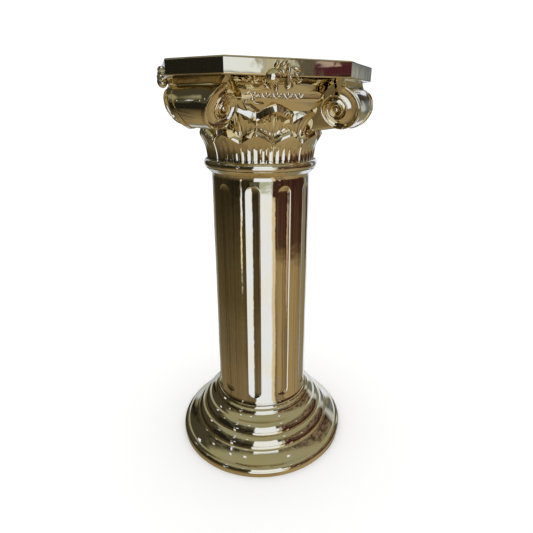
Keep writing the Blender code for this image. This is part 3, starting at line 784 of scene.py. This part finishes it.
def dimmed(colour, mask, pattern, *stops):
    """The colour times a pattern's ramp of greys, where the mask is 1."""
    greys = look.node("ShaderNodeValToRGB", {"stops": stops}, Fac=pattern)
    return look.node("ShaderNodeMix", {"data_type": "RGBA", "blend_type": "MULTIPLY"}, output=2,
                     i0=mask, i6=colour, i7=greys)


shine = by_height((-90, (0.42, 0.33, 0.19)), (-50, (0.34, 0.27, 0.16)), (-36, (0.24, 0.19, 0.12)),
                  (-25, (0.125, 0.10, 0.055)), (-13, (0.06, 0.048, 0.028)), (-5, (0.030, 0.028, 0.020)),
                  (15, (0.09, 0.09, 0.065)), (28, (0.16, 0.165, 0.13)), (40, (0.36, 0.37, 0.28)),
                  (58, (0.38, 0.39, 0.30)), (70, (0.30, 0.30, 0.24)), (90, (0.35, 0.36, 0.34)))
right_side = by_height((-90, (0.42, 0.33, 0.19)), (-45, (0.44, 0.36, 0.24)), (-21, (0.42, 0.32, 0.19)),
                       (-17, (0.10, 0.055, 0.042)), (-8, (0.08, 0.035, 0.03)), (0, (0.16, 0.10, 0.085)),
                       (12, (0.28, 0.21, 0.18)), (28, (0.30, 0.27, 0.21)), (40, (0.38, 0.37, 0.28)),
                       (58, (0.38, 0.39, 0.30)), (90, (0.35, 0.36, 0.34)))
shine = within(azimuth, 28, 118, 6).blend(shine, right_side)
streak_place = look.node("ShaderNodeCombineXYZ", X=azimuth / 6, Y=elevation / 50)
streaks = look.node("ShaderNodeTexNoise", {"noise_dimensions": "2D"}, Vector=streak_place, Scale=1.0, Detail=4.0)
shine = dimmed(shine, within(elevation, -48, -9, 4), streaks,
               (0.34, (0.50, 0.50, 0.52)), (0.50, (0.84, 0.83, 0.82)), (0.66, (1.0, 1.0, 1.0)))
clutter = look.node("ShaderNodeTexNoise", Vector=look, Scale=7.0, Detail=5.0, Roughness=0.7)
shine = dimmed(shine, within(elevation, -9, 33, 5), clutter,
               (0.36, (0.14, 0.11, 0.10)), (0.47, (0.42, 0.38, 0.36)), (0.60, (1.0, 1.0, 1.0)))
LAMP = (1.1, 1.25, 2.0)
PANELS = (
    # azimuth from, to, softness, elevation from, to, softness, colour
    (27, 33.5, 1.0, -46, -11, 1.0, (0.83, 0.76, 0.64)),
    (19, 27, 1.5, -42, -9, 1.5, (0.98, 1.06, 1.3)),
    (-14, 24, 1.5, -42, 35, 3.0, (1.02, 1.18, 1.72)),
    (-17, 20, 1.5, -42, -9, 1.5, (1.02, 1.17, 1.68)),
    (-26, -3, 1.0, -9, -6, 0.8, (0.10, 0.10, 0.07)),
    (-3, 28, 1.0, -9, -6, 0.8, (0.50, 0.58, 0.54)),
    (23, 29.5, 0.8, -5, 16, 3.0, (0.95, 1.13, 1.6)),
    (-82, -57, 2.0, -9, 17, 3.0, (0.016, 0.016, 0.014)),
    (-50, -46.5, 0.8, -22, -9, 2.0, (1.0, 0.98, 0.85)),
    (-50, -46.5, 0.8, -9, 4, 3.0, (0.3, 0.28, 0.22)),
    (42, 47, 1.2, -26, -11, 2.0, (0.52, 0.42, 0.36)),
    (29.5, 34, 1.0, -6, 18, 3.0, (0.55, 0.58, 0.58)),
    (34, 36.5, 0.7, -6, 12, 3.0, (0.13, 0.12, 0.10)),
    (36.5, 45, 1.0, -3, 12, 3.0, (0.080, 0.020, 0.036)),
    (36.5, 39.5, 0.5, 8, 11, 1.0, (0.50, 0.42, 0.45)),
    (122, 132, 4.0, -10, 20, 6.0, (0.60, 0.66, 0.80)),
    (132, 150, 6.0, -8, 12, 6.0, (0.20, 0.23, 0.28)),
    (118, 180, 6.0, -60, -10, 4.0, (0.27, 0.26, 0.21)),
    (-180, -140, 6.0, -60, -10, 4.0, (0.25, 0.23, 0.17)),
    (-140, -88, 6.0, 2, 62, 6.0, (0.065, 0.06, 0.045)),
    (148, 166, 3.0, -45, 48, 4.0, (0.85, 0.95, 1.25)),
    (-165, -150, 3.0, -45, 48, 4.0, (0.55, 0.62, 0.75)),
    # small lamps
    (-45, -42, 0.5, 1, 6, 0.8, LAMP),
    (-48, -45.5, 0.5, -14, -9, 0.8, LAMP),
    (-50, -47.5, 0.5, 26, 31, 0.8, LAMP),
    (-53, -50, 0.6, 38, 43, 1.0, LAMP),
    (-105, -101, 0.8, 27, 32, 1.0, LAMP),
    (-79, -76, 0.6, 25, 28, 1.0, (1.0, 1.1, 1.6)),
    (-30, -26, 0.7, 41, 45, 1.0, LAMP),
    (40, 44, 0.7, 44, 48, 1.0, LAMP),
    (63, 66, 0.6, 12, 17, 1.0, (0.8, 0.7, 0.7)),
)
for left, right, soft, low, high, fade, colour in PANELS:
    mask = within(azimuth, left, right, soft) * within(elevation, low, high, fade)
    shine = mask.blend(shine, (*colour, 1))
mirrored = tree.nodes.new("ShaderNodeBackground")
tree.links.new(shine.socket, mirrored.inputs["Color"])
plain = tree.nodes.new("ShaderNodeBackground")
plain.inputs["Color"].default_value = (1, 1, 1, 1)
plain.inputs["Strength"].default_value = 1.16
path = tree.nodes.new("ShaderNodeLightPath")
mix = tree.nodes.new("ShaderNodeMixShader")
tree.links.new(path.outputs["Is Glossy Ray"], mix.inputs[0])
tree.links.new(plain.outputs[0], mix.inputs[1])
tree.links.new(mirrored.outputs[0], mix.inputs[2])
tree.links.new(mix.outputs[0], tree.nodes.new("ShaderNodeOutputWorld").inputs["Surface"])

# ---------------------------------------------------------------- Camera
# The camera stands a little to the left of the front face and looks down at the column, as fitted
# to the outlines of the ring, the shaft's ends, the steps and the slab.
CAMERA_DISTANCE = 0.7538
CAMERA_HEIGHT = 0.6556
CAMERA_FOCUS = 407.3
FRAME_WIDTH = 533
FRAME_SHIFT = -13.5
SENSOR_WIDTH = 36
PITCH, YAW, ROLL = (math.radians(angle) for angle in (21.07, 2.79, 0.63))
ahead = Vector((math.sin(YAW) * math.cos(PITCH), math.cos(YAW) * math.cos(PITCH), -math.sin(PITCH)))
level = Vector((math.cos(YAW), -math.sin(YAW), 0))
above = level.cross(ahead)
aside = math.cos(ROLL) * level + math.sin(ROLL) * above
upward = -math.sin(ROLL) * level + math.cos(ROLL) * above
turn = Matrix.Rotation(-CAMERA_TURN, 3, "Z")
pose = Matrix([turn @ axis for axis in (aside, upward, -ahead)]).transposed().to_4x4()
pose.translation = turn @ Vector((0, -CAMERA_DISTANCE, CAMERA_HEIGHT))
camera = bpy.data.objects.new("camera", bpy.data.cameras.new("camera"))
bpy.context.scene.collection.objects.link(camera)
camera.matrix_world = pose
camera.data.sensor_width = SENSOR_WIDTH
camera.data.lens = CAMERA_FOCUS / FRAME_WIDTH * SENSOR_WIDTH
camera.data.shift_x = FRAME_SHIFT / FRAME_WIDTH
bpy.context.scene.camera = camera
bpy.context.scene.view_settings.view_transform = "Standard"
